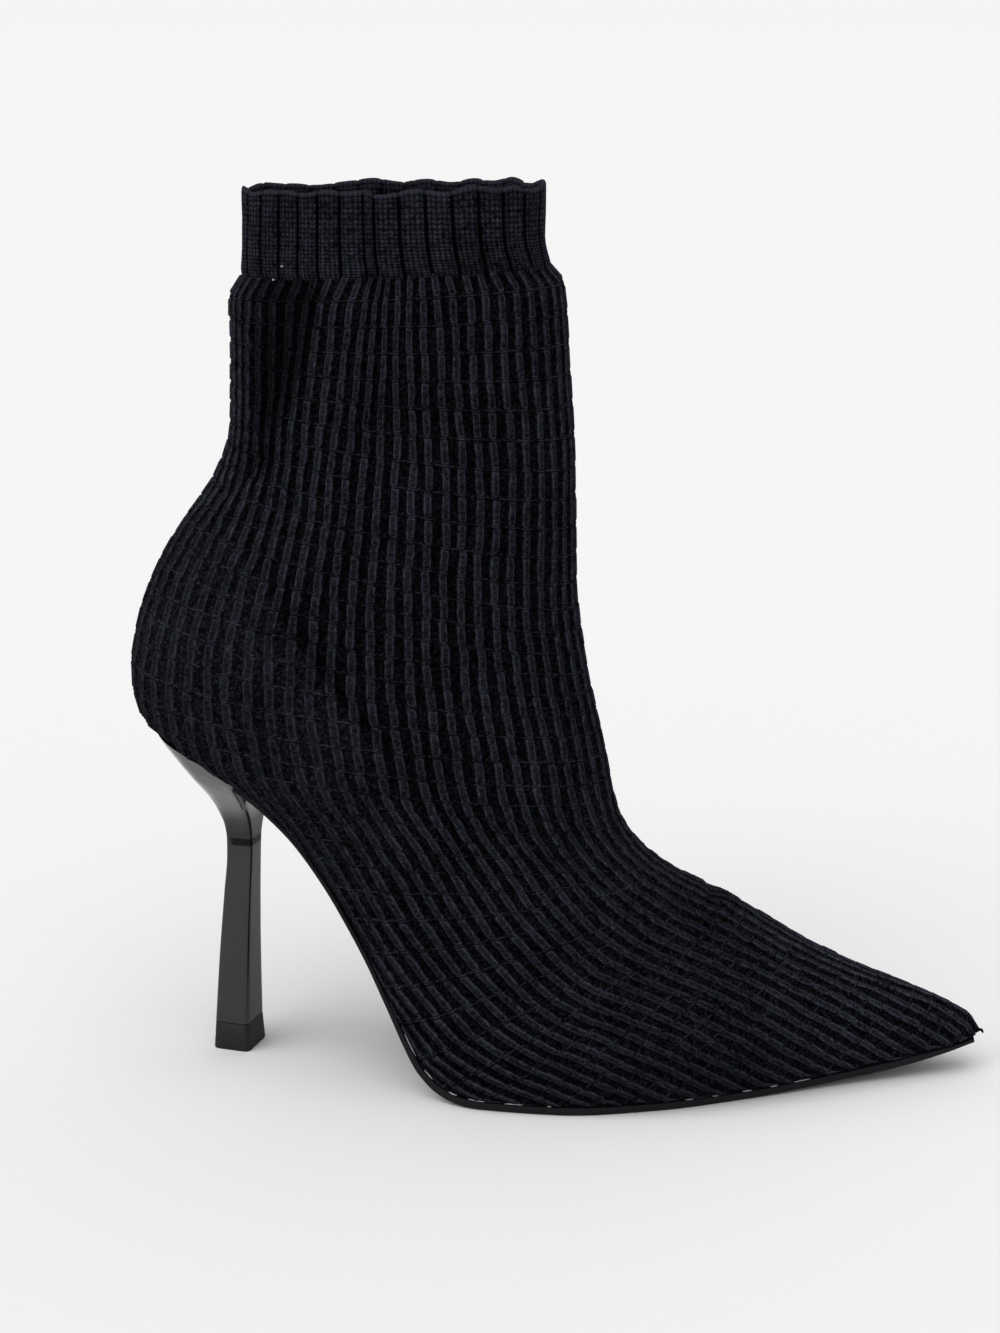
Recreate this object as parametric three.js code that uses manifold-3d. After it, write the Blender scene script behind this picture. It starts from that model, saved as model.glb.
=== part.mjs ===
// Heeled ankle boot, the right one of a pair: a sock-knit upper on a slim high heel.
// Millimetres, X to the toe, Y to the inner side of the foot, Z up, the floor at zero,
// the origin in the middle of the heel's wearing face.
import * as THREE from 'three';
import { mergeVertices } from 'three/addons/utils/BufferGeometryUtils.js';
import ManifoldModule from 'manifold-3d';

const wasm = await ManifoldModule();
wasm.setup();
const { Manifold, Mesh } = wasm;

// Main sizes
const shoeLength = 256;
const shoeHeight = 262;
const ballWidth = 77;
const backOverhang = 30;
const wall = 2;
const fitGap = 0.3;
const toeHollow = 0.96;

// Cuff
const cuffHeight = 24;
const cuffStep = 0.8;
const cuffRibs = 30;
const ribDepth = 0.9;
const cuffRound = 0.5;

// Stiffeners under the knit, seen as low steps
const stiffenerStep = 0.6;

// Sole, insole, heel and its wearing piece
const soleThick = 2.4;
const waistThick = 1.4;
const soleEdgeRound = 0.7;
const insoleThick = 2;
const insoleToe = 211;
const tipHeight = 8.8;
const tipFlare = 0.5;
const heelTurn = -13 * Math.PI / 180;
const heelSpan = 100;

const heelFrontSquare = 9;
const seatFront = 9.4;
const waistEnd = 46;
const soleLip = 0.5;

// Mesh fineness
const ringCount = 36;
const ringPoints = 36;
const innerCount = 28;
const innerPoints = 24;
const soleStations = 66;
const heelPoints = 24;
const bedSteps = 128;
const bedFrom = -44;
const bedTo = 244;
const lerp = THREE.MathUtils.lerp;
const clamp = THREE.MathUtils.clamp;

// Upper: a row for each section from collar to toe. Back and front points are shares of
// length and height, half is a share of the ball width, mid is where the section is widest,
// low and high are how square its two ends are.
const sections = [
  // backX, backZ, frontX, frontZ, half, mid, low, high
  [0.1495, 0.994, 0.486, 1.002, 0.328, 0.5, 2.1, 2.1],
  [0.148, 0.940, 0.484, 0.950, 0.333, 0.5, 2.1, 2.1],
  [0.145, 0.900, 0.489, 0.922, 0.339, 0.5, 2.1, 2.1],
  [0.133, 0.878, 0.504, 0.897, 0.357, 0.5, 2.1, 2.1],
  [0.131, 0.800, 0.513, 0.790, 0.368, 0.5, 2.1, 2.1],
  [0.127, 0.735, 0.519, 0.690, 0.370, 0.5, 2.1, 2.1],
  [0.111, 0.686, 0.520, 0.620, 0.372, 0.49, 2.1, 2.1],
  [0.087, 0.650, 0.521, 0.570, 0.376, 0.47, 2.1, 2.1],
  [0.060, 0.612, 0.525, 0.525, 0.383, 0.44, 2.1, 2.1],
  [0.033, 0.566, 0.532, 0.484, 0.392, 0.41, 2.1, 2.1],
  [0.012, 0.512, 0.541, 0.440, 0.400, 0.38, 2.2, 2.1],
  [0.001, 0.455, 0.552, 0.398, 0.405, 0.36, 2.3, 2.1],
  [0.007, 0.418, 0.560, 0.362, 0.405, 0.35, 2.5, 2.1],
  [0.036, 0.384, 0.566, 0.331, 0.405, 0.35, 2.7, 2.1],
  [0.085, 0.358, 0.573, 0.306, 0.407, 0.36, 2.8, 2.1],
  [0.138, 0.330, 0.583, 0.286, 0.412, 0.37, 2.9, 2.1],
  [0.186, 0.289, 0.596, 0.268, 0.420, 0.38, 3.0, 2.1],
  [0.226, 0.236, 0.612, 0.253, 0.430, 0.38, 3.0, 2.1],
  [0.265, 0.171, 0.630, 0.240, 0.443, 0.37, 3.0, 2.1],
  [0.302, 0.097, 0.649, 0.229, 0.460, 0.35, 3.1, 2.1],
  [0.343, 0.020, 0.670, 0.219, 0.478, 0.32, 3.4, 2.1],
  [0.400, -0.006, 0.698, 0.205, 0.494, 0.29, 4.0, 2.0],
  [0.500, -0.005, 0.742, 0.177, 0.496, 0.26, 4.6, 2.0],
  [0.605, -0.003, 0.795, 0.146, 0.440, 0.27, 4.6, 2.0],
  [0.711, -0.002, 0.850, 0.121, 0.335, 0.30, 4.2, 2.0],
  [0.812, 0.003, 0.906, 0.100, 0.215, 0.33, 3.8, 2.0],
  [0.894, 0.011, 0.952, 0.081, 0.130, 0.36, 3.4, 2.1],
  [0.953, 0.020, 0.983, 0.064, 0.075, 0.40, 3.0, 2.2],
  [0.986, 0.032, 0.998, 0.050, 0.030, 0.50, 2.4, 2.3],
];

const treadBed = (fitGap + soleThick) / shoeHeight;

// Lasted bottom, the face on which the knit meets the sole: along and up as shares of
// length and height.
const bottom = [
  // along, up
  [-0.060, 0.436],
  [-0.005, 0.418],
  [0.040, 0.392],
  [0.080, 0.375],
  [0.118, 0.354],
  [0.150, 0.334],
  [0.180, 0.314],
  [0.204, 0.294],
  [0.227, 0.267],
  [0.250, 0.235],
  [0.273, 0.196],
  [0.297, 0.152],
  [0.320, 0.105],
  [0.340, 0.067],
  [0.360, 0.036],
  [0.380, 0.0190],
  [0.406, 0.0120],
  [0.445, treadBed],
  [0.704, treadBed],
  [0.780, 0.0135],
  [0.860, 0.0205],
  [0.920, 0.0285],
  [1.000, 0.0415],
  [1.080, 0.0560],
];

// Swing of the last: how far its middle line stands to the inner side, as a share of the
// ball width.
const swing = [
  // along, aside
  [-0.060, 0.100],
  [0.000, 0.084],
  [0.118, 0.000],
  [0.200, -0.055],
  [0.300, -0.092],
  [0.390, -0.110],
  [0.500, -0.114],
  [0.586, -0.104],
  [0.664, -0.084],
  [0.740, -0.058],
  [0.820, -0.036],
  [0.900, -0.017],
  [1.000, 0.000],
  [1.080, 0.004],
];

// Heel: a row for each level, up to its top at the seat. Level is a share of the heel span,
// the rest are in its own axes: back and front edge, half width, and how square its back is.
const heelRows = [
  // level, back, front, half, square
  [tipHeight / heelSpan, -5.6, 5.5, 6.6, 7],
  [0.30, -4.1, 5.9, 5.6, 7],
  [0.50, -2.3, 6.6, 4.7, 7],
  [0.62, -1.2, 7.2, 4.2, 7],
  [0.675, -1.1, 7.4, 4.4, 6.5],
  [0.72, -1.5, 7.7, 5.6, 5.0],
  [0.77, -2.9, 8.1, 8.4, 3.6],
  [0.82, -4.8, 8.9, 12.6, 2.8],
  [0.86, -6.8, 9.3, 16.8, 2.4],
  [0.90, -9.4, 9.4, 20.4, 2.2],
  [0.95, -13.8, 9.4, 22.6, 2.1],
  [1.01, -19.6, 9.4, 23.2, 2.1],
  [1.12, -25.5, 9.4, 23.4, 2.1],
];

// Smooth reading of a table whose first column rises, without overshoot.
function readTable(rows, t, column) {
  const last = rows.length - 1;
  const key = (i) => rows[i][0];
  const val = (i) => rows[i][column];
  if (t <= key(0)) return val(0);
  if (t >= key(last)) return val(last);
  let i = 0;
  while (key(i + 1) < t) i++;
  const slope = (j) => (val(j + 1) - val(j)) / (key(j + 1) - key(j));
  const tangent = (j) => {
    if (j === 0) return slope(0);
    if (j === last) return slope(last - 1);
    const a = slope(j - 1);
    const b = slope(j);
    return a * b <= 0 ? 0 : 2 * a * b / (a + b);
  };
  const h = key(i + 1) - key(i);
  const s = (t - key(i)) / h;
  const s2 = s * s;
  const s3 = s2 * s;
  return (2 * s3 - 3 * s2 + 1) * val(i) + (s3 - 2 * s2 + s) * h * tangent(i)
    + (3 * s2 - 2 * s3) * val(i + 1) + (s3 - s2) * h * tangent(i + 1);
}

// The sections in millimetres, keyed by their number along the shoe.
const keyed = sections.map((r, i) => [i / (sections.length - 1),
  r[0] * shoeLength - backOverhang, r[1] * shoeHeight,
  r[2] * shoeLength - backOverhang, r[3] * shoeHeight,
  r[4] * ballWidth, r[5], r[6], r[7]]);
const bottomLine = bottom.map((r) => [r[0] * shoeLength - backOverhang, r[1] * shoeHeight]);
const swingLine = swing.map((r) => [r[0] * shoeLength - backOverhang, r[1] * ballWidth]);
const bedAt = (x) => readTable(bottomLine, x, 1);
const swingAt = (x) => readTable(swingLine, x, 1);

// Back and front points of a section, each moved inward by a given depth.
function spine(t, depth) {
  const at = (s) => [1, 2, 3, 4].map((c) => readTable(keyed, clamp(s, 0, 1), c));
  const p = at(t);
  const a = at(t - 0.012);
  const b = at(t + 0.012);
  const backDir = new THREE.Vector2(b[0] - a[0], b[1] - a[1]).normalize();
  const frontDir = new THREE.Vector2(b[2] - a[2], b[3] - a[3]).normalize();
  const span = new THREE.Vector2(p[2] - p[0], p[3] - p[1]).normalize();
  const backSkew = Math.max(0.35, Math.abs(backDir.x * span.y - backDir.y * span.x));
  const frontSkew = Math.max(0.35, Math.abs(frontDir.x * span.y - frontDir.y * span.x));
  return {
    back: [p[0] + span.x * depth / backSkew, p[1] + span.y * depth / backSkew],
    front: [p[2] - span.x * depth / frontSkew, p[3] - span.y * depth / frontSkew],
  };
}

// One point of the upper's surface. t runs from collar to toe, turn runs round the section
// from its back or bottom, over the outer side, to its front or top and on.
function upperPoint(t, turn, depth) {
  const { back, front } = spine(t, depth);
  const half = Math.max(0.4, readTable(keyed, t, 5) - depth);
  const mid = readTable(keyed, t, 6);
  const angle = turn * 2 * Math.PI;
  const c = Math.cos(angle);
  const s = Math.sin(angle);
  const square = c > 0 ? readTable(keyed, t, 7) : readTable(keyed, t, 8);
  const power = 2 / square;
  const along = Math.abs(c) ** power;
  const u = c > 0 ? mid * (1 - along) : mid + (1 - mid) * along;
  const x = lerp(back[0], front[0], u);
  const z = lerp(back[1], front[1], u);
  const y = swingAt(x) - Math.sign(s) * Math.abs(s) ** power * half;
  return new THREE.Vector3(x, y, z);
}

// A closed solid from rings of points, with a fan at each end.
function ringSolid(rings) {
  const n = rings[0].length;
  const verts = [];
  rings.forEach((ring) => ring.forEach((p) => verts.push(p.x, p.y, p.z)));
  const tris = [];
  for (let i = 0; i < rings.length - 1; i++) {
    for (let j = 0; j < n; j++) {
      const k = (j + 1) % n;
      const a = i * n + j;
      const b = i * n + k;
      const c = (i + 1) * n + k;
      const d = (i + 1) * n + j;
      tris.push(a, b, c, a, c, d);
    }
  }
  [0, rings.length - 1].forEach((i) => {
    const centre = new THREE.Vector3();
    rings[i].forEach((p) => centre.add(p));
    centre.divideScalar(n);
    const hub = verts.length / 3;
    verts.push(centre.x, centre.y, centre.z);
    for (let j = 0; j < n; j++) {
      const k = (j + 1) % n;
      if (i === 0) tris.push(hub, i * n + k, i * n + j);
      else tris.push(hub, i * n + j, i * n + k);
    }
  });
  return solidFrom(verts, tris);
}

function solidFrom(verts, tris) {
  const mesh = new Mesh({
    numProp: 3,
    vertProperties: Float32Array.from(verts),
    triVerts: Uint32Array.from(tris),
  });
  const solid = new Manifold(mesh);
  if (solid.volume() >= 0) return solid;
  const turned = [];
  for (let i = 0; i < tris.length; i += 3) turned.push(tris[i], tris[i + 2], tris[i + 1]);
  return solidFrom(verts, turned);
}

// The bed line moved square to itself, down for a positive depth
function bedOffset(x, depth) {
  const step = 0.5;
  const slope = new THREE.Vector2(2 * step, bedAt(x + step) - bedAt(x - step)).normalize();
  return [x + slope.y * depth, bedAt(x) - slope.x * depth];
}

// A slab across the full width between two lines seen from the side
function slab(lowLine, highLine, fromX, toX, steps) {
  const rings = [];
  for (let i = 0; i <= steps; i++) {
    const x = lerp(fromX, toX, i / steps);
    const low = lowLine(x);
    const high = highLine(x);
    rings.push([
      new THREE.Vector3(low[0], -ballWidth, low[1]),
      new THREE.Vector3(low[0], ballWidth, low[1]),
      new THREE.Vector3(high[0], ballWidth, high[1]),
      new THREE.Vector3(high[0], -ballWidth, high[1]),
    ]);
  }
  return ringSolid(rings);
}

// A plate from an outline seen from the side, across the full width.
function sidePlate(points) {
  const shape = new THREE.Shape(points.map((p) => new THREE.Vector2(p[0], p[1])));
  const plate = new THREE.ExtrudeGeometry(shape, { depth: 2 * ballWidth, bevelEnabled: false });
  plate.translate(0, 0, -ballWidth);
  plate.rotateX(Math.PI / 2);
  return fromGeometry(plate);
}

function fromGeometry(geometry) {
  const bare = geometry.clone();
  bare.deleteAttribute('normal');
  bare.deleteAttribute('uv');
  const joined = mergeVertices(bare, 1e-5);
  return solidFrom(Array.from(joined.attributes.position.array), Array.from(joined.index.array));
}

// Upper: outer and inner forms from one function
function upperForm(depth, count, points, endT, lift) {
  const rings = [];
  for (let i = 0; i <= count; i++) {
    const t = endT * i / count;
    const ring = [];
    for (let j = 0; j < points; j++) ring.push(upperPoint(t, j / points, depth));
    rings.push(ring);
  }
  if (lift) {
    rings.unshift(rings[0].map((p) => p.clone().add(new THREE.Vector3(0, 0, lift))));
  }
  return ringSolid(rings);
}

const cuffShare = cuffHeight / (shoeHeight * (sections[0][1] - sections[2][1]));
const cuffEnd = cuffShare * 2 / (sections.length - 1);

// The ribbed cuff, knitted on in one with the upper
function cuffForm() {
  const levels = [0, 0.2, 0.8, 1];
  const phases = [0, 0.2, 0.8];
  const rings = levels.map((level) => {
    const edge = level === 0 || level === 1 ? cuffRound : 0;
    const ring = [];
    for (let j = 0; j < cuffRibs; j++) {
      phases.forEach((phase) => {
        const groove = phase === 0 ? ribDepth : 0;
        ring.push(upperPoint(level * cuffEnd, (j + phase) / cuffRibs, groove + edge - cuffStep));
      });
    }
    return ring;
  });
  return ringSolid(rings);
}

const body = upperForm(0, ringCount, ringPoints, 1, 0);
const hollow = upperForm(wall, innerCount, innerPoints, toeHollow, 6);
const fuller = upperForm(-stiffenerStep, ringCount, ringPoints, 1, 0);
const counterArea = sidePlate([
  [-45, 170], [-9.3, 168.3], [5.7, 164], [15.5, 152.7], [23.3, 140.3], [31.4, 128],
  [45.3, 109.3], [53, 100], [60, 88], [60, 40], [-45, 40],
]);
const toeArea = sidePlate([[146, 75], [145, 48], [139, 41], [128, 32], [121, -10], [240, -10], [240, 75]]);
const under = slab((x) => [x, -shoeHeight], (x) => [x, bedAt(x)], bedFrom, bedTo, bedSteps);
const stiffened = fuller.intersect(counterArea.add(toeArea));
const upperSolid = body.add(stiffened).add(cuffForm()).subtract(hollow).subtract(under);

// Where a section of the outer form meets the bed: its place along the shoe and half width
function featherAt(t) {
  let low = 0;
  let high = 0.25;
  const above = (turn) => {
    const p = upperPoint(t, turn, 0);
    return p.z > bedAt(p.x);
  };
  for (let i = 0; i < 24; i++) {
    const turn = (low + high) / 2;
    if (above(turn)) high = turn;
    else low = turn;
  }
  const p = upperPoint(t, high, 0);
  return { x: p.x, half: Math.abs(p.y - swingAt(p.x)) };
}

// The section at which the back of the upper turns in onto the bed
function backSection() {
  let low = 0.3;
  let high = 0.6;
  for (let i = 0; i < 24; i++) {
    const t = (low + high) / 2;
    const p = upperPoint(t, 0, 0);
    if (p.z > bedAt(p.x)) low = t;
    else high = t;
  }
  return high;
}

// Outsole: follows the feather line from the toe to the front of the heel
function outsoleForm() {
  const first = backSection();
  const rings = [];
  for (let i = 0; i <= soleStations; i++) {
    const share = i / soleStations;
    const t = lerp(first + 0.004, 1, share);
    const { x, half } = featherAt(t);
    const tread = THREE.MathUtils.smoothstep(x, waistEnd, waistEnd + 24);
    const thick = lerp(waistThick, soleThick, tread);
    const out = soleLip * THREE.MathUtils.smoothstep(x, seatFront, waistEnd);
    const round = Math.min(soleEdgeRound, half / 3);
    const wide = Math.max(0.9, half + out);
    const row = (side, inset, depth) => {
      const at = bedOffset(x, depth);
      return new THREE.Vector3(at[0], swingAt(x) + side * (wide - inset), at[1]);
    };
    const top = fitGap;
    const low = fitGap + thick;
    rings.push([
      row(-1, round / 2, top), row(-1, 0, top + round / 2), row(-1, 0, low - round),
      row(-1, round, low), row(1, round, low), row(1, 0, low - round),
      row(1, 0, top + round / 2), row(1, round / 2, top),
    ]);
  }
  const behind = new THREE.BoxGeometry(2 * seatFront + shoeLength, ballWidth * 2, shoeHeight);
  behind.translate(-shoeLength / 2 + fitGap, 0, shoeHeight / 2);
  behind.rotateZ(heelTurn);
  return ringSolid(rings).subtract(fromGeometry(behind));
}

// Insole: fills the open bottom of the upper, from the same inner form
const insoleBand = slab((x) => bedOffset(x, 0), (x) => bedOffset(x, -insoleThick), bedFrom,
  insoleToe, bedSteps);
const insoleSolid = upperForm(wall + fitGap, innerCount, innerPoints, toeHollow, 0)
  .intersect(insoleBand);

// Heel: rings in its own axes, cut off by the seat
function heelRing(row, grow) {
  const level = row[0] * heelSpan;
  const ring = [];
  for (let j = 0; j < heelPoints; j++) {
    const angle = (j + 0.5) / heelPoints * 2 * Math.PI;
    const c = Math.cos(angle);
    const s = Math.sin(angle);
    const square = c > 0 ? heelFrontSquare : row[4];
    const reach = (row[2] - row[1]) / 2 + grow;
    const a = (row[1] + row[2]) / 2 + Math.sign(c) * Math.abs(c) ** (2 / square) * reach;
    const b = Math.sign(s) * Math.abs(s) ** (2 / square) * (row[3] + grow);
    const x = a * Math.cos(heelTurn) - b * Math.sin(heelTurn);
    const y = a * Math.sin(heelTurn) + b * Math.cos(heelTurn);
    ring.push(new THREE.Vector3(x, y, level));
  }
  return ring;
}

const aboveSeat = slab((x) => bedOffset(x, fitGap), (x) => [x, shoeHeight],
  bedFrom, bedTo, bedSteps);
const heelSolid = ringSolid(heelRows.map((row) => heelRing(row, 0))).subtract(aboveSeat);

// Wearing piece under the heel, a little wider at the floor
const tipTop = tipHeight - fitGap;
const tipSolid = ringSolid([
  heelRing([0, ...heelRows[0].slice(1)], tipFlare),
  heelRing([tipTop / heelSpan, ...heelRows[0].slice(1)], 0),
]);

const group = new THREE.Group();
group.name = 'heeled_ankle_boot';
function addPiece(name, solid, color, roughness) {
  const mesh = solid.getMesh();
  const geometry = new THREE.BufferGeometry();
  geometry.setAttribute('position', new THREE.BufferAttribute(Float32Array.from(mesh.vertProperties), 3));
  geometry.setIndex(new THREE.BufferAttribute(Uint32Array.from(mesh.triVerts), 1));
  geometry.computeVertexNormals();
  const piece = new THREE.Mesh(geometry, new THREE.MeshStandardMaterial({ color, roughness }));
  piece.name = name;
  group.add(piece);
}

addPiece('upper', upperSolid, 0x17181b, 0.9);
addPiece('insole', insoleSolid, 0x1c1c1e, 0.8);
addPiece('outsole', outsoleForm(), 0x141416, 0.4);
addPiece('heel', heelSolid, 0x101114, 0.15);
addPiece('heel_tip', tipSolid, 0x1a1a1c, 0.6);

export default group;
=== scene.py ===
"""Looks of the heeled ankle boot: knitted sock upper, lacquered heel, satin sole.

The main sizes and tables repeat the ones in the solid model, in millimetres, with X to the toe,
Y to the inner side of the foot and Z up. Meshes are turned to metres as they are made.
"""
import math

import bpy
import numpy as np
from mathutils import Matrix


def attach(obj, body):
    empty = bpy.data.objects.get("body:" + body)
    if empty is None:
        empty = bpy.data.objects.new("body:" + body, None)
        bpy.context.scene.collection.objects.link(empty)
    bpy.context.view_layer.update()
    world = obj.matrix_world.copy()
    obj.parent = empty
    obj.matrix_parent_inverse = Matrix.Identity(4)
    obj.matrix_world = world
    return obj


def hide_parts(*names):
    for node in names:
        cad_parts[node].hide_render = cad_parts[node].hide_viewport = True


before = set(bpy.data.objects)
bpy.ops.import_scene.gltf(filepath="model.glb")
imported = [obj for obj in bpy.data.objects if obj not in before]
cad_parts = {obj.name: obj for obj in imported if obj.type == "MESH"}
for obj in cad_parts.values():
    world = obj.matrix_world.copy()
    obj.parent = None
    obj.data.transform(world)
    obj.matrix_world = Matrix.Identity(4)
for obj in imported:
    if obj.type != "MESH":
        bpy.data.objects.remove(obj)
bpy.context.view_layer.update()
chance = np.random.default_rng(11)

# Main sizes
shoe_length = 256.0
shoe_height = 262.0
ball_width = 77.0
back_overhang = 30.0
wall = 2.0
fit_gap = 0.3
toe_hollow = 0.96

# Cuff
cuff_height = 24.0
cuff_step = 0.8
cuff_ribs = 30
rib_depth = 0.9

# Sole and heel
sole_thick = 2.4
waist_thick = 1.4
heel_turn = math.radians(-13)
heel_span = 100.0
heel_front_square = 9.0
seat_front = 9.4
waist_end = 46.0
sole_lip = 0.5
tip_height = 8.8
tip_flare = 0.5

# Upper sections: back point, front point, half width, widest place, squareness of both ends
sections = [
    # backX, backZ, frontX, frontZ, half, mid, low, high
    [0.1495, 0.994, 0.486, 1.002, 0.328, 0.50, 2.1, 2.1],
    [0.148, 0.940, 0.484, 0.950, 0.333, 0.50, 2.1, 2.1],
    [0.145, 0.900, 0.489, 0.922, 0.339, 0.50, 2.1, 2.1],
    [0.133, 0.878, 0.504, 0.897, 0.357, 0.50, 2.1, 2.1],
    [0.131, 0.800, 0.513, 0.790, 0.368, 0.50, 2.1, 2.1],
    [0.127, 0.735, 0.519, 0.690, 0.370, 0.50, 2.1, 2.1],
    [0.111, 0.686, 0.520, 0.620, 0.372, 0.49, 2.1, 2.1],
    [0.087, 0.650, 0.521, 0.570, 0.376, 0.47, 2.1, 2.1],
    [0.060, 0.612, 0.525, 0.525, 0.383, 0.44, 2.1, 2.1],
    [0.033, 0.566, 0.532, 0.484, 0.392, 0.41, 2.1, 2.1],
    [0.012, 0.512, 0.541, 0.440, 0.400, 0.38, 2.2, 2.1],
    [0.001, 0.455, 0.552, 0.398, 0.405, 0.36, 2.3, 2.1],
    [0.007, 0.418, 0.560, 0.362, 0.405, 0.35, 2.5, 2.1],
    [0.036, 0.384, 0.566, 0.331, 0.405, 0.35, 2.7, 2.1],
    [0.085, 0.358, 0.573, 0.306, 0.407, 0.36, 2.8, 2.1],
    [0.138, 0.330, 0.583, 0.286, 0.412, 0.37, 2.9, 2.1],
    [0.186, 0.289, 0.596, 0.268, 0.420, 0.38, 3.0, 2.1],
    [0.226, 0.236, 0.612, 0.253, 0.430, 0.38, 3.0, 2.1],
    [0.265, 0.171, 0.630, 0.240, 0.443, 0.37, 3.0, 2.1],
    [0.302, 0.097, 0.649, 0.229, 0.460, 0.35, 3.1, 2.1],
    [0.343, 0.020, 0.670, 0.219, 0.478, 0.32, 3.4, 2.1],
    [0.400, -0.006, 0.698, 0.205, 0.494, 0.29, 4.0, 2.0],
    [0.500, -0.005, 0.742, 0.177, 0.496, 0.26, 4.6, 2.0],
    [0.605, -0.003, 0.795, 0.146, 0.440, 0.27, 4.6, 2.0],
    [0.711, -0.002, 0.850, 0.121, 0.335, 0.30, 4.2, 2.0],
    [0.812, 0.003, 0.906, 0.100, 0.215, 0.33, 3.8, 2.0],
    [0.894, 0.011, 0.952, 0.081, 0.130, 0.36, 3.4, 2.1],
    [0.953, 0.020, 0.983, 0.064, 0.075, 0.40, 3.0, 2.2],
    [0.986, 0.032, 0.998, 0.050, 0.030, 0.50, 2.4, 2.3],
]
tread_bed = (fit_gap + sole_thick) / shoe_height
bottom = [
    # along, up
    [-0.060, 0.436], [-0.005, 0.418], [0.040, 0.392], [0.080, 0.375], [0.118, 0.354],
    [0.150, 0.334], [0.180, 0.314], [0.204, 0.294], [0.227, 0.267], [0.250, 0.235],
    [0.273, 0.196], [0.297, 0.152], [0.320, 0.105], [0.340, 0.067], [0.360, 0.036],
    [0.380, 0.0190], [0.406, 0.0120], [0.445, tread_bed], [0.704, tread_bed],
    [0.780, 0.0135], [0.860, 0.0205], [0.920, 0.0285], [1.000, 0.0415], [1.080, 0.0560],
]
swing = [
    # along, aside
    [-0.060, 0.100], [0.0, 0.084], [0.118, 0.0], [0.200, -0.055], [0.300, -0.092],
    [0.390, -0.110], [0.500, -0.114], [0.586, -0.104], [0.664, -0.084], [0.740, -0.058],
    [0.820, -0.036], [0.900, -0.017], [1.000, 0.0], [1.080, 0.004],
]
heel_rows = [
    # level, back, front, half, square
    [0.088, -5.6, 5.5, 6.6, 7.0], [0.30, -4.1, 5.9, 5.6, 7.0], [0.50, -2.3, 6.6, 4.7, 7.0],
    [0.62, -1.2, 7.2, 4.2, 7.0], [0.675, -1.1, 7.4, 4.4, 6.5], [0.72, -1.5, 7.7, 5.6, 5.0],
    [0.77, -2.9, 8.1, 8.4, 3.6], [0.82, -4.8, 8.9, 12.6, 2.8], [0.86, -6.8, 9.3, 16.8, 2.4],
    [0.90, -9.4, 9.4, 20.4, 2.2], [0.95, -13.8, 9.4, 22.6, 2.1], [1.01, -19.6, 9.4, 23.2, 2.1],
    [1.12, -25.5, 9.4, 23.4, 2.1],
]

# Top edge of the counter and back edge of the toe stiffener, seen from the side
counter_edge = [
    # x, z
    [-45, 170], [-9.3, 168.3], [5.7, 164], [15.5, 152.7], [23.3, 140.3], [31.4, 128],
    [45.3, 109.3], [53, 100], [60, 88], [68, 70],
]
toe_edge = [
    # z, x
    [-10, 121], [32, 128], [41, 139], [48, 145], [75, 146],
]

# Body knit: ribs round the leg, pitch of the ribs on the foot, length of a block
leg_ribs = 57
rib_pitch = [
    # section share, millimetres beside the front ridge
    [0.0, 4.30], [0.071, 4.35], [0.09, 4.50], [0.107, 4.66], [0.143, 4.80], [0.25, 4.80],
    [0.36, 4.90], [0.50, 5.05], [0.62, 5.10], [0.70, 4.95], [0.78, 4.65], [0.86, 4.35], [1.0, 4.0],
]
back_spread = 2.6
block_length = [
    # section share, millimetres
    [0.0, 7.2], [0.25, 7.3], [0.42, 7.6], [0.60, 8.4], [0.75, 8.8], [1.0, 8.8],
]
rib_profile = [
    # place across the rib, share of the height
    [-0.50, 0.0], [-0.335, 0.04], [-0.235, 0.62], [-0.125, 1.0],
    [0.125, 1.0], [0.235, 0.62], [0.335, 0.04],
]
block_profile = [
    # place along the block, dip of the rib, lift in the gap
    [0.0, 0.22, 0.16], [0.07, 0.46, 0.0], [0.17, 0.03, 0.0], [0.83, 0.03, 0.0], [0.93, 0.46, 0.0],
]

# Creases on the outer side: middle, direction, half length, half width, depth
creases = [
    # x, z, angle, length, width, depth
    [22.5, 240.0, 86.0, 36.0, 9.5, -1.7],
    [24.5, 220.0, 72.0, 19.0, 5.0, -1.7],
    [38.0, 224.0, 78.0, 16.0, 5.0, 0.5],
    [16.0, 197.0, 84.0, 14.0, 4.5, -1.1],
    [9.5, 180.5, 42.0, 12.0, 2.8, -0.9],
    [4.0, 173.0, 42.0, 13.0, 3.6, 0.5],
    [104.0, 91.0, 22.0, 7.0, 2.0, -0.5],
    [100.0, 74.0, 18.0, 8.0, 2.2, -0.6],
]


def read_table(rows, t, column):
    """Smooth reading of a table whose first column rises, without overshoot."""
    rows = np.asarray(rows, float)
    keys = rows[:, 0]
    values = rows[:, column]
    t = np.clip(np.asarray(t, float), keys[0], keys[-1])
    slopes = np.diff(values) / np.diff(keys)
    tangents = np.empty(len(keys))
    tangents[0] = slopes[0]
    tangents[-1] = slopes[-1]
    a = slopes[:-1]
    b = slopes[1:]
    both = np.where(np.abs(a + b) < 1e-12, 1.0, a + b)
    tangents[1:-1] = np.where(a * b <= 0, 0.0, 2 * a * b / both)
    i = np.clip(np.searchsorted(keys, t, side="left") - 1, 0, len(keys) - 2)
    h = keys[i + 1] - keys[i]
    s = (t - keys[i]) / h
    s2 = s * s
    s3 = s2 * s
    return ((2 * s3 - 3 * s2 + 1) * values[i] + (s3 - 2 * s2 + s) * h * tangents[i]
            + (3 * s2 - 2 * s3) * values[i + 1] + (s3 - s2) * h * tangents[i + 1])


def smoothstep(value, low, high):
    share = np.clip((np.asarray(value, float) - low) / (high - low), 0.0, 1.0)
    return share * share * (3 - 2 * share)


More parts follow.
